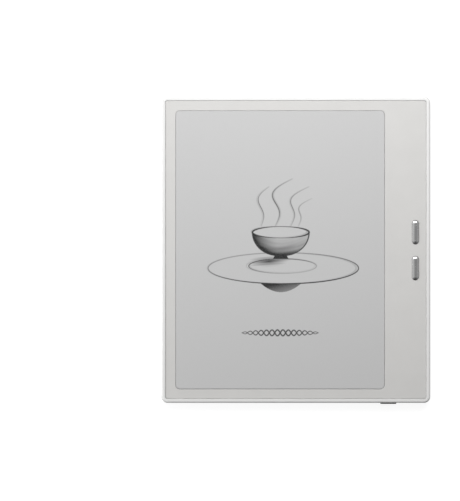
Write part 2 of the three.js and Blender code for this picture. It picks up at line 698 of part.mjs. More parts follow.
CHASSIS_SCREWS.forEach(([x, y], i) => {
  const head = PLATE_BOTTOM - SCREW.headHeight;
  add(`chassis_screw_${i + 1}`, screwAt(x, y, head, LEDGE_TOP - PLATE_BOTTOM), screwSteel());
});
BOARD_SCREWS.forEach(([x, y], i) => {
  const head = BOARD_BOTTOM - SCREW.headHeight;
  add(`board_screw_${i + 1}`, screwAt(x, y, head, PLATE_TOP - BOARD_BOTTOM), screwSteel());
});
for (const [side, y] of Object.entries(BOSS_YS)) {
  const head = SWITCH_BOARD.bottom - SCREW.headHeight;
  add(`switch_board_screw_${side}`, screwAt(BUTTON.x, y, head, BOSS.screwLength), screwSteel());
}

export default reader;
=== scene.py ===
"""The looks of a 7-inch e-reader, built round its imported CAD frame.

Metres, +Z out of the screen, +Y to the top of the page, +X to the grip side. Places and sizes come
from the frame's own nodes; the constants below add the fine dimensions that the frame leaves plain.
"""

import json
import math
import random

import bmesh
import bpy
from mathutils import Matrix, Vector, noise


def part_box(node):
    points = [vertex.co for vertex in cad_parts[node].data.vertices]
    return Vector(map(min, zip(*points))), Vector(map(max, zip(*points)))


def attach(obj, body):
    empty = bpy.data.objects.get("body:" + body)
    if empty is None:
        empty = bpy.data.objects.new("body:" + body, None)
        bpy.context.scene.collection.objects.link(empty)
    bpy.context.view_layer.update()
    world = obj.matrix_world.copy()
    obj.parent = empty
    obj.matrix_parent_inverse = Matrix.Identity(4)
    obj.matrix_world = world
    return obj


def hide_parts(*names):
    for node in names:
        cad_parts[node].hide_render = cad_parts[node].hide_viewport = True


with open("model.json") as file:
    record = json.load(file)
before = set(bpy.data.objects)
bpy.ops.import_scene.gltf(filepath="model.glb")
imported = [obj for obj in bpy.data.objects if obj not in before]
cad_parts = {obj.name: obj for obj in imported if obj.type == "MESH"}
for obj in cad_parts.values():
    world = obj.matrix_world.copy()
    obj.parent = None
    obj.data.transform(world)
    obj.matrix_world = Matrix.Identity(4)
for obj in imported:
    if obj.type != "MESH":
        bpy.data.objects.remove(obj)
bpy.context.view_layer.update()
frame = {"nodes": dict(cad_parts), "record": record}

MM = 0.001

# Casing
CORNER = 3.2 * MM
EDGE_ROUND = 0.8 * MM
FRONT_ROUND = 1.0 * MM
EDGE_BREAK = 0.12 * MM  # small rounding along the parting line
RIM_BREAK = 0.14 * MM  # and along the rim's inner edge
FRAME_BEVEL = 0.09 * MM  # rounding of the edges that cuts leave in the frame
COVER_BEVEL = 0.05 * MM
WALL = 2 * MM
SEAM = 0.06 * MM  # half of the parting line between frame and rear cover
COVER_PLATE = 1.3 * MM  # height of the rear cover's inner face
LEDGE = {"width": 2.6 * MM, "bottom": 4.4 * MM, "top": 5.2 * MM}

# Openings in the grip side's wall: width, height and corner radius
PLUG_HOLE = (9 * MM, 2.9 * MM, 1.4 * MM)
CARD_HOLE = (12 * MM, 0.95 * MM, 0.4 * MM)
VOICE_HOLE = (0.8 * MM, 0.8 * MM, 0.4 * MM)
SOUND_HOLE = (1.5 * MM, 0.9 * MM, 0.45 * MM)
SOUND_HOLES = 5
SOUND_PITCH = 2.4 * MM
CUT_PAST = 0.1 * MM  # how far a cutter goes past the wall's inner face

# Front panel and screen
PANEL_GAP = 0.03 * MM  # taken off the bezel's edge, on top of the gap that the frame has
PANEL_THICKNESS = 0.95 * MM
PANEL_EDGE = 0.25 * MM
WINDOW_RADIUS = 2.2 * MM
WINDOW_BEVEL = 0.09 * MM
WINDOW_ROUNDS = (0.06 * MM, 0.04 * MM)  # at the bevel's upper and lower edge
HOLE_BEVEL = 0.06 * MM  # round the page buttons' holes
SCREEN_MARGIN = 1.6 * MM  # how far the screen reaches under the bezel
LENS_GAP = 0.2 * MM
LENS_SHIFT = (-0.06 * MM, 0.1 * MM)  # the lens sits a little left and high in the window
LENS_FOOT = 0.3 * MM  # thickness of the screen under the bezel
LENS_ROUND = 0.08 * MM
POCKET_MARGIN = 2.1 * MM
POCKET_DEPTH = 0.4 * MM  # bezel left above the display layers

# Page buttons
BUTTON_MARGIN = 0.65 * MM  # flange round each pill
BUTTON_GAP = 0.07 * MM
BUTTON_FLANGE = 0.4 * MM
CROWN_RISE = 0.66 * MM
CROWN_STEPS = 14
CROWN_SPAN = 0.985  # share of the quarter turn up to the pill's middle line that the steps cover

# Power button
POWER_WIDTH = 8.2 * MM
POWER_GAP = 0.16 * MM
POWER_ROUND = 0.3 * MM

# Back skins
SKIN_RADIUS = 1.5 * MM
SKIN_EDGE = 0.3 * MM
SKIN_GAP = 0.05 * MM
GRAIN_PITCH = 1.25 * MM
GRAIN_DEPTH = 0.06 * MM
GRAIN_SEED = 7
SKIN_CELL = 0.42 * MM  # mesh size that carries the grain
CREASE_WIDTH = 0.32  # this and the next two in grain pitches
CREASE_BEND = 0.35
CREASE_BEND_LENGTH = 2.2

# The picture on the screen, in millimetres from the screen's middle: a bowl on a saucer under steam,
# with a braid as a tailpiece
INK_CELL = 0.16
INK_RISE = 0.004 * MM  # above the lens
BOWL = {"x": 0.3, "y": 9.0, "half": 14.4, "tilt": 2.9, "depth": 12.0, "foot": 3.2, "foot_height": 1.3}
SAUCER = {"x": 1.6, "y": -9.3, "half": 38.3, "tilt": 7.9, "foot": 10.5, "foot_height": 4.3}
WELL = {"x": 1.2, "y": -8.2, "half": 17.2, "tilt": 3.7}
BRAID = {"half": 19.5, "y": -42.2, "rise": 1.5, "waves": 7}

# Studio and camera
FLOOR_HALF = 2
FLOOR_DROP = 0.02 * MM  # below the reader's back
FLOOR_GLOW = 0.85
STUDIO_DIM = 0.05
VIEW_HEIGHT = 255 * MM  # how much the camera sees from top to bottom at the front face
CAMERA_ASIDE = Vector((-33.5 * MM, -0.4 * MM))  # from above the reader's middle

# Mesh fineness
CORNER_STEPS = 12
LEAST_RADIUS = 0.3 * MM
FILLET_STEPS = 5
BEVEL_ANGLE = math.radians(50)
SMOOTH_ANGLE = math.radians(38)
GRAIN_SMOOTH_ANGLE = math.radians(60)


# ---------------------------------------------------------------- mesh helpers


def outline(low, high, radius, inset=0.0):
    """A rounded rectangle between two corners, moved inwards by inset, as anticlockwise points."""
    spare = min(high[0] - low[0], high[1] - low[1]) / 2 - inset
    r = max(radius - inset, min(LEAST_RADIUS, spare))
    left, right = low[0] + inset + r, high[0] - inset - r
    bottom, top = low[1] + inset + r, high[1] - inset - r
    corners = [(right, bottom, -90), (right, top, 0), (left, top, 90), (left, bottom, 180)]
    points = []
    for x, y, start in corners:
        for i in range(CORNER_STEPS + 1):
            turn = math.radians(start + 90 * i / CORNER_STEPS)
            points.append((x + r * math.cos(turn), y + r * math.sin(turn)))
    return points


def filleted(corners):
    """An open line of (u, v, radius) corners, with each corner rounded by an arc of its radius."""
    points = []
    for i, (u, v, radius) in enumerate(corners):
        here = Vector((u, v))
        if radius == 0 or i in (0, len(corners) - 1):
            points.append(here)
            continue
        before = (Vector(corners[i - 1][:2]) - here).normalized()
        after = (Vector(corners[i + 1][:2]) - here).normalized()
        half = before.angle(after) / 2
        centre = here + (before + after).normalized() * (radius / math.sin(half))
        reach = radius / math.tan(half)
        first, last = here + before * reach - centre, here + after * reach - centre
        turn = first.angle_signed(last)
        for step in range(FILLET_STEPS + 1):
            angle = -turn * step / FILLET_STEPS
            c, s = math.cos(angle), math.sin(angle)
            points.append(centre + Vector((first.x * c - first.y * s, first.x * s + first.y * c)))
    return [tuple(p) for p in points]


def levels(low, high, radius, profile):
    """One loop of 3D points for each (inset, height) of the profile."""
    return [[(x, y, z) for x, y in outline(low, high, radius, inset)] for inset, z in profile]


def add_mesh(name, points, faces):
    mesh = bpy.data.meshes.new(name)
    mesh.from_pydata(points, [], faces)
    tidy = bmesh.new()
    tidy.from_mesh(mesh)
    bmesh.ops.remove_doubles(tidy, verts=tidy.verts, dist=1e-7)
    bmesh.ops.dissolve_degenerate(tidy, edges=tidy.edges, dist=1e-8)
    bmesh.ops.recalc_face_normals(tidy, faces=tidy.faces)
    tidy.to_mesh(mesh)
    tidy.free()
    piece = bpy.data.objects.new(name, mesh)
    bpy.context.scene.collection.objects.link(piece)
    return piece


def loft(name, loops, ring=False):
    """Joins equally long loops into one closed skin. A ring's last loop joins its first."""
    count = len(loops[0])
    points = [p for loop in loops for p in loop]
    pairs = list(zip(range(len(loops)), range(1, len(loops))))
    if ring:
        pairs.append((len(loops) - 1, 0))
    faces = []
    for a, b in pairs:
        for i in range(count):
            j = (i + 1) % count
            faces.append((a * count + i, a * count + j, b * count + j, b * count + i))
    if not ring:
        last = (len(loops) - 1) * count
        faces.append(tuple(range(count - 1, -1, -1)))
        faces.append(tuple(range(last, last + count)))
    return add_mesh(name, points, faces)


def apply_modifiers(piece):
    graph = bpy.context.evaluated_depsgraph_get()
    mesh = bpy.data.meshes.new_from_object(piece.evaluated_get(graph))
    piece.modifiers.clear()
    piece.data = mesh


def cut(piece, cutters):
    for cutter in cutters:
        step = piece.modifiers.new("cut", "BOOLEAN")
        step.operation = "DIFFERENCE"
        step.solver = "EXACT"
        step.object = cutter
        apply_modifiers(piece)
        bpy.data.objects.remove(cutter)


def soften(piece, width=0.0, segments=2):
    """Rounds the sharp edges that are left, and shades the piece smoothly."""
    if width:
        bevel = piece.modifiers.new("bevel", "BEVEL")
        bevel.width = width
        bevel.segments = segments
        bevel.limit_method = "ANGLE"
        bevel.angle_limit = BEVEL_ANGLE
        bevel.use_clamp_overlap = True
    apply_modifiers(piece)
    piece.data.shade_smooth()
    piece.data.set_sharp_from_angle(angle=SMOOTH_ANGLE)
    weighted = piece.modifiers.new("weighted", "WEIGHTED_NORMAL")
    weighted.keep_sharp = True


def slot_along_x(name, x_from, x_to, y, z, width, height, radius):
    section = outline((y - width / 2, z - height / 2), (y + width / 2, z + height / 2), radius)
    return loft(name, [[(x, a, b) for a, b in section] for x in (x_from, x_to)])


def slot_along_y(name, y_from, y_to, x, z, width, height, radius):
    section = outline((x - width / 2, z - height / 2), (x + width / 2, z + height / 2), radius)
    return loft(name, [[(a, y, b) for a, b in section] for y in (y_from, y_to)])


def middle(node):
    low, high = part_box(node)
    return (low + high) / 2


# ---------------------------------------------------------------- material helpers


def linear(red, green, blue):
    """A colour given as 0 to 255 on screen, as the linear values that a shader takes."""
    return tuple(((c / 255 + 0.055) / 1.055) ** 2.4 for c in (red, green, blue)) + (1.0,)


class Paint:
    """A procedural material under construction. Pitches and depths are in metres."""

    def __init__(self, name, roughness, metallic=0.0, specular=0.5):
        self.material = bpy.data.materials.new(name)
        self.material.use_nodes = True
        self.tree = self.material.node_tree
        self.shader = self.tree.nodes["Principled BSDF"]
        self.shader.inputs["Roughness"].default_value = roughness
        self.shader.inputs["Metallic"].default_value = metallic
        self.shader.inputs["Specular IOR Level"].default_value = specular
        self.place = self.node("ShaderNodeTexCoord").outputs["Object"]
        self.height = None

    def node(self, kind, **settings):
        made = self.tree.nodes.new(kind)
        for key, value in settings.items():
            setattr(made, key, value)
        return made

    def link(self, source, target):
        self.tree.links.new(source, target)

    def stretched(self, scale):
        mapping = self.node("ShaderNodeMapping")
        mapping.inputs["Scale"].default_value = scale
        self.link(self.place, mapping.inputs["Vector"])
        return mapping.outputs["Vector"]

    def noise(self, pitch, detail=2.0, stretch=None):
        texture = self.node("ShaderNodeTexNoise")
        texture.inputs["Scale"].default_value = 1 / pitch
        texture.inputs["Detail"].default_value = detail
        place = self.stretched(stretch) if stretch else self.place
        self.link(place, texture.inputs["Vector"])
        return texture.outputs["Fac"]

    def spread(self, value, low, high, start=0.3, end=0.7):
        ramp = self.node("ShaderNodeMapRange")
        for key, number in zip(("From Min", "From Max", "To Min", "To Max"), (start, end, low, high)):
            ramp.inputs[key].default_value = number
        self.link(value, ramp.inputs["Value"])
        return ramp.outputs["Result"]

    def blend(self, value, dark, light, start=0.3, end=0.7):
        ramp = self.node("ShaderNodeValToRGB")
        ramp.color_ramp.elements[0].position = start
        ramp.color_ramp.elements[0].color = dark
        ramp.color_ramp.elements[1].position = end
        ramp.color_ramp.elements[1].color = light
        self.link(value, ramp.inputs["Fac"])
        return ramp.outputs["Color"]

    def mottled(self, colour, amount, pitch, stretch=None):
        """The colour, a little darker and lighter from place to place."""
        dark = tuple(c * (1 - amount) for c in colour[:3]) + (1.0,)
        light = tuple(min(c * (1 + amount), 1.0) for c in colour[:3]) + (1.0,)
        clouds = self.blend(self.noise(pitch, 3.0, stretch), dark, light)
        self.link(clouds, self.shader.inputs["Base Color"])

    def uneven_gloss(self, roughness, amount, pitch):
        value = self.spread(self.noise(pitch, 2.0), roughness - amount, roughness + amount)
        self.link(value, self.shader.inputs["Roughness"])

    def bump(self, height, depth):
        node = self.node("ShaderNodeBump")
        node.inputs["Distance"].default_value = depth
        self.link(height, node.inputs["Height"])
        if self.height is not None:
            self.link(self.height, node.inputs["Normal"])
        self.height = node.outputs["Normal"]
        self.link(self.height, self.shader.inputs["Normal"])


def moulded(name, colour, roughness, grain_pitch, grain_depth, mottle=0.012):
    """Moulded plastic: a faint cloudiness, a fine spark-eroded grain and uneven gloss."""
    paint = Paint(name, roughness)
    paint.mottled(colour, mottle, 9 * MM)
    paint.uneven_gloss(roughness, 0.05, 4 * MM)
    paint.bump(paint.noise(grain_pitch, 3.0), grain_depth)
    return paint.material


def brushed(name, colour, roughness, stretch, pitch=0.5 * MM, depth=0.004 * MM):
    """Metal with a fine lay: noise stretched along one direction."""
    paint = Paint(name, roughness, metallic=1.0)
    paint.mottled(colour, 0.05, 6 * MM, stretch)
    paint.bump(paint.noise(pitch, 4.0, stretch), depth)
    paint.uneven_gloss(roughness, 0.06, 1.5 * MM)
    return paint.material


def leather_grain():
    """The skins' finish: the mesh has the pebbles, and this adds the pores and fine creases."""
    paint = Paint("skin_grain", 0.62)
    paint.mottled(linear(238, 238, 237), 0.025, 1.1 * MM)
    creases = paint.node("ShaderNodeTexVoronoi", feature="DISTANCE_TO_EDGE")
    creases.inputs["Scale"].default_value = 1 / (0.55 * MM)
    paint.link(paint.place, creases.inputs["Vector"])
    paint.bump(paint.spread(creases.outputs["Distance"], 0.0, 1.0, 0.0, 0.25), 0.02 * MM)
    paint.bump(paint.noise(0.16 * MM, 3.0), 0.008 * MM)
    paint.uneven_gloss(0.6, 0.08, 2 * MM)
    return paint.material


def page_screen(name, inked=False):
    """The matt front film over the e-paper, neutral grey, with the picture's ink where it is inked."""
    paint = Paint(name, 0.6, specular=0.35)
    paint.mottled(linear(196, 196, 196), 0.012, 0.3 * MM)
    if inked:
        ink = paint.node("ShaderNodeAttribute", attribute_name="ink").outputs["Fac"]
        strength = paint.node("ShaderNodeMath", operation="MULTIPLY")
        paint.link(ink, strength.inputs[0])
        paint.link(paint.spread(paint.noise(0.35 * MM, 2.0), 0.92, 1.0), strength.inputs[1])
        mix = paint.node("ShaderNodeMix", data_type="RGBA")
        paper = paint.shader.inputs["Base Color"].links[0].from_socket
        paint.link(strength.outputs["Value"], mix.inputs["Factor"])
        paint.link(paper, mix.inputs["A"])
        mix.inputs["B"].default_value = linear(8, 8, 9)
        paint.link(mix.outputs["Result"], paint.shader.inputs["Base Color"])
    paint.uneven_gloss(0.58, 0.04, 0.4 * MM)
    paint.bump(paint.noise(0.12 * MM, 2.0), 0.001 * MM)
    return paint.material


def circuit_board(name):
    """Green solder mask with copper pours under it and small bright pads."""
    paint = Paint(name, 0.4)
    pours = paint.node("ShaderNodeTexBrick")
    pours.inputs["Scale"].default_value = 1 / (9 * MM)
    pours.inputs["Color1"].default_value = linear(22, 96, 60)
    pours.inputs["Color2"].default_value = linear(30, 112, 70)
    pours.inputs["Mortar"].default_value = linear(14, 66, 42)
    pours.inputs["Mortar Size"].default_value = 0.03
    paint.link(paint.place, pours.inputs["Vector"])
    pads = paint.node("ShaderNodeTexVoronoi", feature="F1", distance="CHEBYCHEV")
    pads.inputs["Scale"].default_value = 1 / (1.6 * MM)
    paint.link(paint.place, pads.inputs["Vector"])
    inside = paint.spread(pads.outputs["Distance"], 1.0, 0.0, 0.16, 0.2)
    mix = paint.node("ShaderNodeMix", data_type="RGBA")
    paint.link(inside, mix.inputs["Factor"])
    paint.link(pours.outputs["Color"], mix.inputs["A"])
    mix.inputs["B"].default_value = linear(214, 206, 176)
    paint.link(mix.outputs["Result"], paint.shader.inputs["Base Color"])
    paint.link(paint.spread(inside, 0.0, 0.9, 0.0, 1.0), paint.shader.inputs["Metallic"])
    paint.bump(inside, 0.03 * MM)
    return paint.material


def woven_mesh(name, pitch):
    """A fine square mesh whose openings are painted near black: painted shade of the dark behind the
    holes.
    """
    paint = Paint(name, 0.6, metallic=0.6)
    total = None
    for axis in ("X", "Y", "Z"):
        threads = paint.node("ShaderNodeTexWave", bands_direction=axis)
        threads.inputs["Scale"].default_value = 1 / (3.3 * pitch)
        paint.link(paint.place, threads.inputs["Vector"])
        if total is None:
            total = threads.outputs["Fac"]
            continue
        larger = paint.node("ShaderNodeMath", operation="MAXIMUM")
        paint.link(total, larger.inputs[0])
        paint.link(threads.outputs["Fac"], larger.inputs[1])
        total = larger.outputs["Value"]
    # painted shade: the openings go near black, the threads dark grey
    shade = paint.blend(total, linear(8, 8, 9), linear(70, 70, 74), 0.5, 0.9)
    paint.link(shade, paint.shader.inputs["Base Color"])
    paint.bump(total, 0.03 * MM)
    return paint.material


# ---------------------------------------------------------------- materials by slot

ALONG_X, ALONG_Y = (0.06, 1.0, 1.0), (1.0, 0.06, 1.0)

materials = {
    "casing_white": moulded("casing_white", linear(231, 231, 230), 0.42, 0.3 * MM, 0.002 * MM),
    "skin_grain": leather_grain(),
    "bezel_grey": moulded("bezel_grey", linear(208, 207, 205), 0.6, 0.22 * MM, 0.006 * MM),
    "screen_film": page_screen("screen_film"),
    "page_ink": page_screen("page_ink", inked=True),
    "epaper_glass": moulded("epaper_glass", linear(205, 205, 200), 0.3, 0.2 * MM, 0.001 * MM),
    "clear_guide": moulded("clear_guide", linear(225, 230, 234), 0.15, 0.35 * MM, 0.003 * MM),
    "gasket_foam": moulded("gasket_foam", linear(52, 52, 53), 0.9, 0.12 * MM, 0.02 * MM, 0.12),
    "button_metal": brushed("button_metal", linear(203, 203, 203), 0.22, ALONG_Y, depth=0.0001 * MM),
    "power_black": moulded("power_black", linear(20, 20, 21), 0.5, 0.15 * MM, 0.004 * MM, 0.05),
    "plate_metal": brushed("plate_metal", linear(196, 198, 200), 0.35, ALONG_Y),
    "port_steel": brushed("port_steel", linear(190, 192, 195), 0.3, ALONG_X, 0.2 * MM, 0.002 * MM),
    "board_green": circuit_board("board_green"),
    "flex_amber": moulded("flex_amber", linear(188, 118, 42), 0.35, 0.6 * MM, 0.004 * MM, 0.1),
    "black_parts": moulded("black_parts", linear(34, 34, 36), 0.55, 0.12 * MM, 0.005 * MM, 0.08),
    "cream_plastic": moulded("cream_plastic", linear(226, 218, 190), 0.4, 0.3 * MM, 0.003 * MM),
    "mesh_black": woven_mesh("mesh_black", 0.12 * MM),
    "gold_contact": brushed("gold_contact", linear(214, 178, 98), 0.25, ALONG_X, 0.2 * MM, 0.002 * MM),
    "battery_foil": brushed("battery_foil", linear(178, 180, 184), 0.4, ALONG_X, 2 * MM, 0.02 * MM),
    "lead_red": moulded("lead_red", linear(168, 40, 32), 0.5, 0.3 * MM, 0.004 * MM, 0.08),
    "tape_white": moulded("tape_white", linear(228, 228, 226), 0.7, 0.5 * MM, 0.01 * MM),
    "magnet_nickel": brushed(
        "magnet_nickel", linear(196, 194, 190), 0.18, ALONG_Y, 0.3 * MM, 0.001 * MM
    ),
    "screw_steel": brushed("screw_steel", linear(150, 152, 156), 0.3, ALONG_X, 0.15 * MM, 0.002 * MM),
}


def dress(piece, body, slot, nodes=(), material=None):
    """Gives a piece the material of its slot, sets it on its body and hides the nodes it stands for."""
    piece.data.materials.clear()
    piece.data.materials.append(materials[material or slot])
    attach(piece, body)
    if nodes:
        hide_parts(*nodes)


# ---------------------------------------------------------------- casing

frame_low, frame_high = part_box("housing_frame")
cover_low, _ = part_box("rear_cover")
bezel_low, bezel_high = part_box("front_bezel")
screen_low, screen_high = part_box("touch_panel")
window_low = Vector((screen_low.x + SCREEN_MARGIN, screen_low.y + SCREEN_MARGIN))
window_high = Vector((screen_high.x - SCREEN_MARGIN, screen_high.y - SCREEN_MARGIN))
PAGE_BUTTONS = ("page_button_upper", "page_button_lower")


def wall_cutters():
    """Cutters for the openings of the frame's side walls, each centred on what lies behind it."""
    inside, outside = frame_high.x - WALL - CUT_PAST, frame_high.x + MM
    plug, card = middle("charging_port_shell"), middle("memory_card_slot")
    sound, voice = middle("speaker_mesh"), middle("microphone")
    cutters = [
        slot_along_x("plug_cut", inside, outside, plug.y, plug.z, *PLUG_HOLE),
        slot_along_x("card_cut", inside, outside, card.y, card.z, *CARD_HOLE),
        slot_along_x("voice_cut", inside, outside, voice.y, voice.z, *VOICE_HOLE),
    ]
    for i in range(SOUND_HOLES):
        y = sound.y + (i - (SOUND_HOLES - 1) / 2) * SOUND_PITCH
        cutters.append(slot_along_x("sound_cut", inside, outside, y, sound.z, *SOUND_HOLE))
    power_low, power_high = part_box("power_button")
    height = power_high.z - power_low.z + 2 * POWER_GAP
    at = middle("power_button")
    cutters.append(
        slot_along_y("power_cut", frame_low.y - MM, frame_low.y + WALL + CUT_PAST,
                     at.x, at.z, POWER_WIDTH + 2 * POWER_GAP, height, height / 2)
    )
    return cutters


def build_frame():
    bottom, top = COVER_PLATE + SEAM, frame_high.z
    inner = WALL + LEDGE["width"]
    profile = filleted([
        (0.5 * MM, bottom, 0),
        (0, bottom, EDGE_BREAK),
        (0, top, FRONT_ROUND),
        (WALL, top, RIM_BREAK),
        (WALL, LEDGE["top"], 0),
        (inner, LEDGE["top"], 0),
        (inner, LEDGE["bottom"], 0),
        (WALL, LEDGE["bottom"], 0),
        (WALL, bottom, 0),
    ])
    piece = loft("frame_shell", levels(frame_low, frame_high, CORNER, profile), ring=True)
    cut(piece, wall_cutters())
    soften(piece, FRAME_BEVEL)
    dress(piece, "housing", "casing_white", ["housing_frame"])


def skin_prism(node, gap, bottom, top):
    low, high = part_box(node)
    return loft("seat", levels(low, high, SKIN_RADIUS, [(-gap, bottom), (-gap, top)]))


def build_rear_cover():
    bottom, top = cover_low.z, COVER_PLATE - SEAM
    profile = filleted([
        (2 * EDGE_ROUND, bottom, 0),
        (0, bottom, EDGE_ROUND),
        (0, top, EDGE_BREAK),
        (0.6 * MM, top, 0),
    ])
    piece = loft("rear_shell", levels(frame_low, frame_high, CORNER, profile))
    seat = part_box("back_skin")[1].z + SKIN_GAP
    cut(piece, [skin_prism(node, SKIN_GAP, -MM, seat) for node in ("back_skin", "grip_skin")])
    soften(piece, COVER_BEVEL)
    dress(piece, "housing", "casing_white", ["rear_cover"])


def build_bezel():
    top = bezel_high.z
    bottom = top - PANEL_THICKNESS
    outer = filleted([(0, bottom, 0), (0, top, PANEL_EDGE), (MM, top, 0)])
    bevel, (upper_round, lower_round) = WINDOW_BEVEL, WINDOW_ROUNDS
    edge = filleted([
        (-MM, top, 0),
        (-bevel, top, upper_round),
        (0, top - bevel, lower_round),
        (0, top - POCKET_DEPTH, 0),
        (-POCKET_MARGIN, top - POCKET_DEPTH, 0),
        (-POCKET_MARGIN, bottom, 0),
    ])
    low = bezel_low.to_2d() + Vector((PANEL_GAP, PANEL_GAP))
    high = bezel_high.to_2d() - Vector((PANEL_GAP, PANEL_GAP))
    loops = levels(low, high, CORNER - WALL, outer)
    loops += levels(window_low, window_high, WINDOW_RADIUS, edge)
    piece = loft("bezel_panel", loops, ring=True)
    cut(piece, [button_prism(node) for node in PAGE_BUTTONS])
    soften(piece, HOLE_BEVEL)
    dress(piece, "housing", "bezel_grey", ["front_bezel"])


def pill_box(node):
    low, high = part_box(node)
    margin = Vector((BUTTON_MARGIN, BUTTON_MARGIN))
    return low.to_2d() + margin, high.to_2d() - margin


def button_prism(node):
    low, high = pill_box(node)
    radius = (high.x - low.x) / 2
    top = bezel_high.z
    profile = [(-BUTTON_GAP, top - 2 * MM), (-BUTTON_GAP, top + MM)]
    return loft("hole", levels(low, high, radius, profile))


# ---------------------------------------------------------------- screen


def build_screen():
    """The lens stands in the bezel's window, on a thinner foot that lies under the bezel."""
    foot, top = screen_low.z + LENS_FOOT, screen_high.z
    profile = [(0, screen_low.z), (0, foot)]
    lens = filleted([
        (SCREEN_MARGIN + LENS_GAP, foot, 0),
        (SCREEN_MARGIN + LENS_GAP, top, LENS_ROUND),
        (SCREEN_MARGIN + MM, top, 0),
    ])
    loops = levels(screen_low, screen_high, WINDOW_RADIUS + SCREEN_MARGIN, profile + lens)
    shift_x, shift_y = LENS_SHIFT
    shifted = [[(x + shift_x, y + shift_y, z) for x, y, z in loop] for loop in loops[len(profile):]]
    piece = loft("screen_front", loops[:len(profile)] + shifted)
    soften(piece)
    dress(piece, "housing", "screen_film", ["touch_panel"])


# ---------------------------------------------------------------- the picture on the screen


class Page:
    """Ink from 0 to 1 at the points of a fine square grid. Places and widths are in millimetres."""

    def __init__(self):
        self.ink = {}
        self.hand = random.Random(7)

    def darken(self, point, amount):
        if amount > 0.01:
            self.ink[point] = max(self.ink.get(point, 0.0), min(amount, 1.0))

    def wash(self, low, high, shade):
        """Shades the area between two corners: shade(x, y) gives the ink there."""
        for row in range(math.floor(low[1] / INK_CELL), math.ceil(high[1] / INK_CELL)):
            for column in range(math.floor(low[0] / INK_CELL), math.ceil(high[0] / INK_CELL)):
                self.darken((column, row), shade(column * INK_CELL, row * INK_CELL))

    def stroke(self, path, width, dark, length=60):
        """A pencil line along path(t). Its width and darkness go with t, which runs from 0 to 1."""
        steps = round(length / INK_CELL)
        for i in range(steps + 1):
            t = i / steps
            (x, y), half, tone = path(t), width(t) / 2, dark(t)
            reach = half + INK_CELL

            def dab(px, py):
                return tone * min((half + INK_CELL / 2 - math.hypot(px - x, py - y)) / INK_CELL, 1.0)

            self.wash((x - reach, y - reach), (x + reach, y + reach), dab)

    def ring(self, shape, width, dark, strays=2):
        """An ellipse drawn by hand: one firm line, and faint ones that stray from it."""
        for number in range(strays + 1):
            stray = 0.8 if number else 0.0
            fade = 0.25 if number else 1.0
            dx, dy, grow = (stray * self.hand.uniform(-1, 1) for _ in range(3))

            def path(t):
                turn = 2 * math.pi * t
                x = shape["x"] + dx + (shape["half"] + grow) * math.cos(turn)
                return x, shape["y"] + dy / 2 + (shape["tilt"] + grow / 4) * math.sin(turn)

            self.stroke(path, width, lambda t: fade * dark(t), 4.5 * shape["half"])

    def mesh(self, z):
        """Squares under the inked points, facing up, with the ink as an attribute of their corners."""
        origin = middle("touch_panel")
        square = ((0, 0), (1, 0), (1, 1), (0, 1))
        cells = sorted({(c - i, r - j) for c, r in self.ink for i, j in square})
        corners = sorted({(c + i, r + j) for c, r in cells for i, j in square})
        number = {corner: i for i, corner in enumerate(corners)}
        cell = INK_CELL * MM
        points = [(origin.x + c * cell, origin.y + r * cell, z) for c, r in corners]
        faces = [[number[c + i, r + j] for i, j in square] for c, r in cells]
        mesh = bpy.data.meshes.new("page_picture")
        mesh.from_pydata(points, [], faces)
        ink = mesh.attributes.new("ink", "FLOAT", "POINT")
        ink.data.foreach_set("value", [self.ink.get(corner, 0.0) for corner in corners])
        piece = bpy.data.objects.new("page_picture", mesh)
        bpy.context.scene.collection.objects.link(piece)
        return piece


def near_edge(shape, x):
    """Height of an ellipse's near side, the lower one on the page."""
    across = min(abs(x - shape["x"]) / shape["half"], 1.0)
    return shape["y"] - shape["tilt"] * math.sqrt(1 - across**2)


def draw_bowl(page):
    x0, y0, half, depth = (BOWL[key] for key in ("x", "y", "half", "depth"))

    def side(drop):
        return half * math.sqrt(max(1 - drop**2, 0.0)) ** 0.9

    def body(x, y):
        """Dark to the left and toward the foot, with streaks that follow the bowl's round."""
        drop = (y0 - y) / depth
        if drop > 1 or y > near_edge(BOWL, x) or abs(x - x0) > side(max(drop, 0.0)):
            return 0.0
        across = (x - x0) / half
        streak = noise.noise(Vector((1.5 * across, 8 * (drop + 0.35 * across**2), 0)))
        left, right = max(-across - 0.1, 0.0), max(across - 0.55, 0.0)
        return 0.12 + 0.95 * drop**2.2 + 1.1 * left**1.4 + 0.4 * right + 0.16 * streak

    def foot(x, y):
        spread = BOWL["foot"] + 0.5 * (y0 - depth - y)
        return 1.0 if abs(x - x0) < spread else 0.0

    page.wash((x0 - half, y0 - depth), (x0 + half, y0 + 1), body)
    page.wash((x0 - 5, y0 - depth - BOWL["foot_height"]), (x0 + 5, y0 - depth + 0.4), foot)
    for left_or_right in (-1, 1):
        page.stroke(
            lambda t: (x0 + left_or_right * side(t), y0 - depth * t),
            lambda t: 0.7 - 0.2 * t,
            lambda t: 0.95,
        )
    page.ring(BOWL, lambda t: 0.6 + 0.3 * math.cos(4 * math.pi * t), lambda t: 0.95, strays=1)


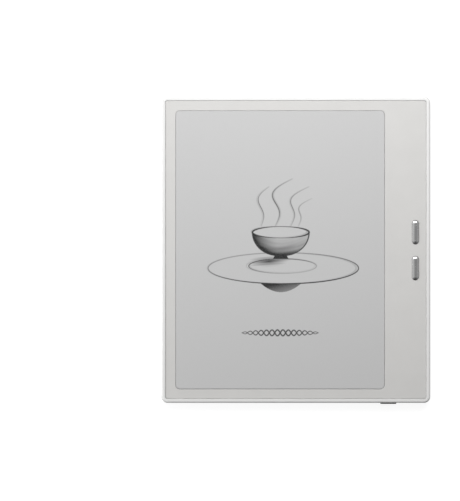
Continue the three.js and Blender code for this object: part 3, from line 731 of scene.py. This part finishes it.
def draw_saucer(page):
    x0, y0 = BOWL["x"], BOWL["y"] - BOWL["depth"] - BOWL["foot_height"]

    def shadow(x, y):
        """The bowl's streaky shadow on the saucer, which falls to the left."""
        u, v = (x - x0 + 6) / 15, (y - y0 + 1.2 - 0.05 * (x - x0)) / 3.6
        streak = 0.35 * noise.noise(Vector((0.5 * u, 6 * v, 4)))
        return 0.95 - 1.25 * math.hypot(u, v) + streak

    def foot(x, y):
        """The saucer's foot, darkest under the saucer's near edge."""
        across = (x - BOWL["x"]) / SAUCER["foot"]
        drop = (near_edge(SAUCER, x) - y) / SAUCER["foot_height"]
        return 0.98 - 0.35 * drop - 0.2 * across if 0 <= drop <= 1 - across**2 else 0.0

    page.wash((x0 - 22, y0 - 6), (x0 + 10, y0 + 3), shadow)
    page.wash((x0 - 12, -23), (x0 + 12, -15), foot)
    page.ring(SAUCER, lambda t: 0.55, lambda t: 0.72 + 0.28 * math.sin(2 * math.pi * (t + 0.42)))
    page.ring(WELL, lambda t: 0.5, lambda t: 0.6 + 0.3 * math.cos(2 * math.pi * (t - 0.35)))


def draw_steam(page):
    """Curls of steam: (start, rise, lean, swing, darkness)."""
    curls = [(-10, 20, 3, 2.4, 0.75), (-3, 24, 7, 3.8, 0.9), (5, 20, 8, 3.0, 0.7), (9, 14, 6, 2.0, 0.5)]
    for start, rise, lean, swing, tone in curls:
        for number in range(3):
            stray = page.hand.uniform(-0.9, 0.9) if number else 0.0
            fade = 0.3 * tone if number else tone

            def path(t):
                bend = swing * (0.4 + t) * math.sin(2 * math.pi * t + 0.4)
                return start + stray + lean * t * t + bend, BOWL["y"] + 3.2 + rise * t

            page.stroke(path, lambda t: 0.45, lambda t: fade * (0.3 + 0.7 * math.sin(math.pi * t)))


def draw_braid(page):
    for phase in (0, math.pi):
        def path(t):
            rise = BRAID["rise"] * math.sqrt(math.sin(math.pi * t))
            turn = 2 * math.pi * BRAID["waves"] * t + phase
            return BRAID["half"] * (2 * t - 1), BRAID["y"] + rise * math.sin(turn)

        page.stroke(path, lambda t: 0.3 + 0.4 * math.sin(math.pi * t), lambda t: 0.9, 100)


def build_picture():
    page = Page()
    draw_saucer(page)
    draw_bowl(page)
    draw_steam(page)
    draw_braid(page)
    piece = page.mesh(screen_high.z + INK_RISE)
    dress(piece, "housing", "screen_film", material="page_ink")


# ---------------------------------------------------------------- buttons


def build_page_button(node):
    """A convex pill: a round arch across its width, a short side, and the flange under the bezel."""
    low, high = pill_box(node)
    node_low, node_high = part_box(node)
    half = (high.x - low.x) / 2
    sphere = (half**2 + CROWN_RISE**2) / (2 * CROWN_RISE)
    top = node_high.z
    flange_top = node_low.z + BUTTON_FLANGE
    profile = [(-BUTTON_MARGIN, node_low.z), (-BUTTON_MARGIN, flange_top), (0, flange_top)]
    for i in range(CROWN_STEPS + 1):
        across = half * math.cos(math.pi / 2 * i / CROWN_STEPS * CROWN_SPAN)
        drop = sphere - math.sqrt(sphere**2 - across**2)
        profile.append((half - across, top - drop))
    piece = loft(node + "_cap", levels(low, high, half, profile))
    soften(piece)
    dress(piece, node, "button_metal", [node])


def build_power_button():
    low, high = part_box("power_button")
    at = middle("power_button")
    half_width, half_height = POWER_WIDTH / 2, (high.z - low.z) / 2
    corner_low, corner_high = (at.x - half_width, low.z), (at.x + half_width, high.z)
    innermost = half_height * 0.8
    profile = filleted([(innermost, low.y, 0), (0, low.y, POWER_ROUND), (0, high.y, 0)])
    loops = [
        [(x, y, z) for x, z in outline(corner_low, corner_high, half_height, inset)]
        for inset, y in profile
    ]
    piece = loft("power_button_cap", loops)
    soften(piece)
    dress(piece, "power_button", "power_black", ["power_button"])


# ---------------------------------------------------------------- back skins


def grid_lines(length):
    """Places from 0 to length: close together at the rounded edges, then evenly spaced."""
    edge = [SKIN_EDGE * share for share in (0, 0.04, 0.15, 0.35, 0.65, 1)]
    count = round((length - 2 * SKIN_EDGE) / SKIN_CELL)
    step = (length - 2 * SKIN_EDGE) / count
    inner = [SKIN_EDGE + step * i for i in range(1, count)]
    return edge + inner + [length - e for e in reversed(edge)]


def into_corner(a, b, radius):
    """Moves a point of a square corner cell (both from 0 at the corner) into the rounded corner."""
    if a >= radius or b >= radius:
        return a, b
    u, v = 1 - a / radius, 1 - b / radius
    shrink = max(u, v) / math.hypot(u, v) if u or v else 1
    return radius * (1 - u * shrink), radius * (1 - v * shrink)


def edge_distance(x, y, width, height):
    """How far a point is from the rounded rectangle's edge."""
    a, b = min(x, width - x), min(y, height - y)
    if a < SKIN_RADIUS and b < SKIN_RADIUS:
        return SKIN_RADIUS - math.hypot(SKIN_RADIUS - a, SKIN_RADIUS - b)
    return min(a, b)


def pebble(x, y):
    """Leather grain: 0 on a pebble's crown and 1 in the crease between two pebbles."""
    flat, bend = Vector((x, y, 0)), CREASE_BEND * GRAIN_PITCH
    bent = flat + bend * noise.noise_vector(flat / (CREASE_BEND_LENGTH * GRAIN_PITCH))
    distances, _ = noise.voronoi(Vector((bent.x, bent.y, 0)) / GRAIN_PITCH)
    gap = distances[1] - distances[0]
    crease = max(0.0, 1 - gap / CREASE_WIDTH)
    return crease * crease * (3 - 2 * crease)


def build_skin(node):
    """A skin field: a fine grid for its grained face, rounded at the edge, and a plain back."""
    noise.seed_set(GRAIN_SEED)  # noise_vector is seeded from the clock otherwise
    low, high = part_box(node)
    width, height = high.x - low.x, high.y - low.y
    xs, ys = grid_lines(width), grid_lines(height)
    points = []
    for y in ys:
        for x in xs:
            a, b = into_corner(min(x, width - x), min(y, height - y), SKIN_RADIUS)
            px = a if x < width / 2 else width - a
            py = b if y < height / 2 else height - b
            inside = edge_distance(px, py, width, height)
            short = max(SKIN_EDGE - inside, 0.0)
            rise = SKIN_EDGE - math.sqrt(max(SKIN_EDGE**2 - short**2, 0.0))
            fade = min(inside / MM, 1.0)
            grain = GRAIN_DEPTH * pebble(low.x + px, low.y + py) * fade
            points.append((low.x + px, low.y + py, low.z + rise + grain))
    columns, rows = len(xs), len(ys)
    faces = [
        (r * columns + c, (r + 1) * columns + c, (r + 1) * columns + c + 1, r * columns + c + 1)
        for r in range(rows - 1)
        for c in range(columns - 1)
    ]
    rim = list(range(columns))
    rim += [r * columns + columns - 1 for r in range(1, rows)]
    rim += [(rows - 1) * columns + c for c in range(columns - 2, -1, -1)]
    rim += [r * columns for r in range(rows - 2, 0, -1)]
    first = len(points)
    points += [(points[i][0], points[i][1], high.z) for i in rim]
    count = len(rim)
    for i in range(count):
        j = (i + 1) % count
        faces.append((rim[i], rim[j], first + j, first + i))
    faces.append(tuple(first + i for i in range(count)))
    piece = add_mesh(node + "_grain", points, faces)
    piece.data.shade_smooth()
    piece.data.set_sharp_from_angle(angle=GRAIN_SMOOTH_ANGLE)
    dress(piece, "housing", "skin_grain", [node])


# ---------------------------------------------------------------- carried-over nodes


def finish_cad_nodes():
    """Carried-over nodes keep their shape and take the material of their slot."""
    slots = {row["node"]: row["material_slot"] for row in frame["record"]["subparts"]}
    for name, node in frame["nodes"].items():
        node.data.materials.clear()
        node.data.materials.append(materials[slots[name]])


# ---------------------------------------------------------------- build

build_frame()
build_rear_cover()
build_bezel()
build_screen()
build_picture()
for name in PAGE_BUTTONS:
    build_page_button(name)
build_power_button()
for name in ("back_skin", "grip_skin"):
    build_skin(name)
finish_cad_nodes()


# ---------------------------------------------------------------- stage, light and camera


def build_stage():
    """A white floor that glows a little, like a light table. From below it is clear glass."""
    paint = Paint("floor", 0.9, specular=0.1)
    paint.mottled(linear(150, 150, 150), 0.004, 0.4)
    paint.shader.inputs["Emission Color"].default_value = (1, 1, 1, 1)
    paint.shader.inputs["Emission Strength"].default_value = FLOOR_GLOW
    clear = paint.node("ShaderNodeBsdfTransparent")
    side = paint.node("ShaderNodeNewGeometry").outputs["Backfacing"]
    mix = paint.node("ShaderNodeMixShader")
    paint.link(side, mix.inputs["Fac"])
    paint.link(paint.shader.outputs["BSDF"], mix.inputs[1])
    paint.link(clear.outputs["BSDF"], mix.inputs[2])
    paint.link(mix.outputs["Shader"], paint.tree.nodes["Material Output"].inputs["Surface"])
    corners = [(x * FLOOR_HALF, y * FLOOR_HALF, 0) for x, y in ((-1, -1), (1, -1), (1, 1), (-1, 1))]
    floor = add_mesh("floor", corners, [(0, 1, 2, 3)])
    floor.location.z = -FLOOR_DROP
    floor.data.materials.append(paint.material)
    floor.visible_diffuse = False
    floor.visible_glossy = False
    floor.visible_shadow = False


def softbox(name, place, size, brightness):
    """An area light aimed at the reader's middle, with its brightness per unit of its area."""
    data = bpy.data.lights.new(name, "AREA")
    data.shape = "RECTANGLE"
    data.size, data.size_y = size
    data.energy = brightness * math.pi * size[0] * size[1]
    lamp = bpy.data.objects.new(name, data)
    lamp.location = place
    lamp.rotation_euler = (-Vector(place)).to_track_quat("-Z", "Y").to_euler()
    lamp.visible_camera = False
    bpy.context.scene.collection.objects.link(lamp)


def build_sky():
    """A dim studio with a broad pale glow from each listed direction: (direction, strength)."""
    glows = [
        ((-0.8, 0.45, 0.4), 0.88),
        ((0.8, 0.45, 0.4), 0.5),
        ((0.0, 0.1, 1.0), 0.06),
        ((0.0, 0.3, -1.0), 0.2),
    ]
    world = bpy.data.worlds.new("studio")
    world.use_nodes = True
    tree = world.node_tree
    direction = tree.nodes.new("ShaderNodeTexCoord").outputs["Generated"]
    total = None
    for aim, strength in glows:
        toward = tree.nodes.new("ShaderNodeVectorMath")
        toward.operation = "DOT_PRODUCT"
        tree.links.new(direction, toward.inputs[0])
        toward.inputs[1].default_value = Vector(aim).normalized()
        front = tree.nodes.new("ShaderNodeMath")
        front.operation = "MAXIMUM"
        tree.links.new(toward.outputs["Value"], front.inputs[0])
        front.inputs[1].default_value = 0
        square = tree.nodes.new("ShaderNodeMath")
        square.operation = "MULTIPLY"
        tree.links.new(front.outputs["Value"], square.inputs[0])
        tree.links.new(front.outputs["Value"], square.inputs[1])
        glow = tree.nodes.new("ShaderNodeMath")
        glow.operation = "MULTIPLY_ADD"
        tree.links.new(square.outputs["Value"], glow.inputs[0])
        glow.inputs[1].default_value = strength
        if total is None:
            glow.inputs[2].default_value = STUDIO_DIM
        else:
            tree.links.new(total, glow.inputs[2])
        total = glow.outputs["Value"]
    background = tree.nodes["Background"]
    tree.links.new(total, background.inputs["Strength"])
    background.inputs["Color"].default_value = (1, 1, 1, 1)
    bpy.context.scene.world = world


def build_light():
    softbox("key", (0.0, 0.245, 0.29), (0.5, 0.22), 3.62)
    softbox("side", (-0.4, -0.12, 0.07), (0.4, 0.1), 6.8)
    softbox("under", (-0.35, 0.4, -0.25), (0.4, 0.4), 3.6)
    build_sky()


def build_camera():
    """A long lens straight above a point beside the reader, which puts it right of the middle."""
    lens, sensor = 150, 36
    data = bpy.data.cameras.new("camera")
    data.lens = lens
    data.sensor_width = sensor
    data.clip_end = 20
    camera = bpy.data.objects.new("camera", data)
    above = middle("housing_frame").to_2d() + CAMERA_ASIDE
    camera.location = (above.x, above.y, frame_high.z + VIEW_HEIGHT * lens / sensor)
    bpy.context.scene.collection.objects.link(camera)
    bpy.context.scene.camera = camera


build_stage()
build_light()
build_camera()
bpy.context.scene.view_settings.view_transform = "Standard"
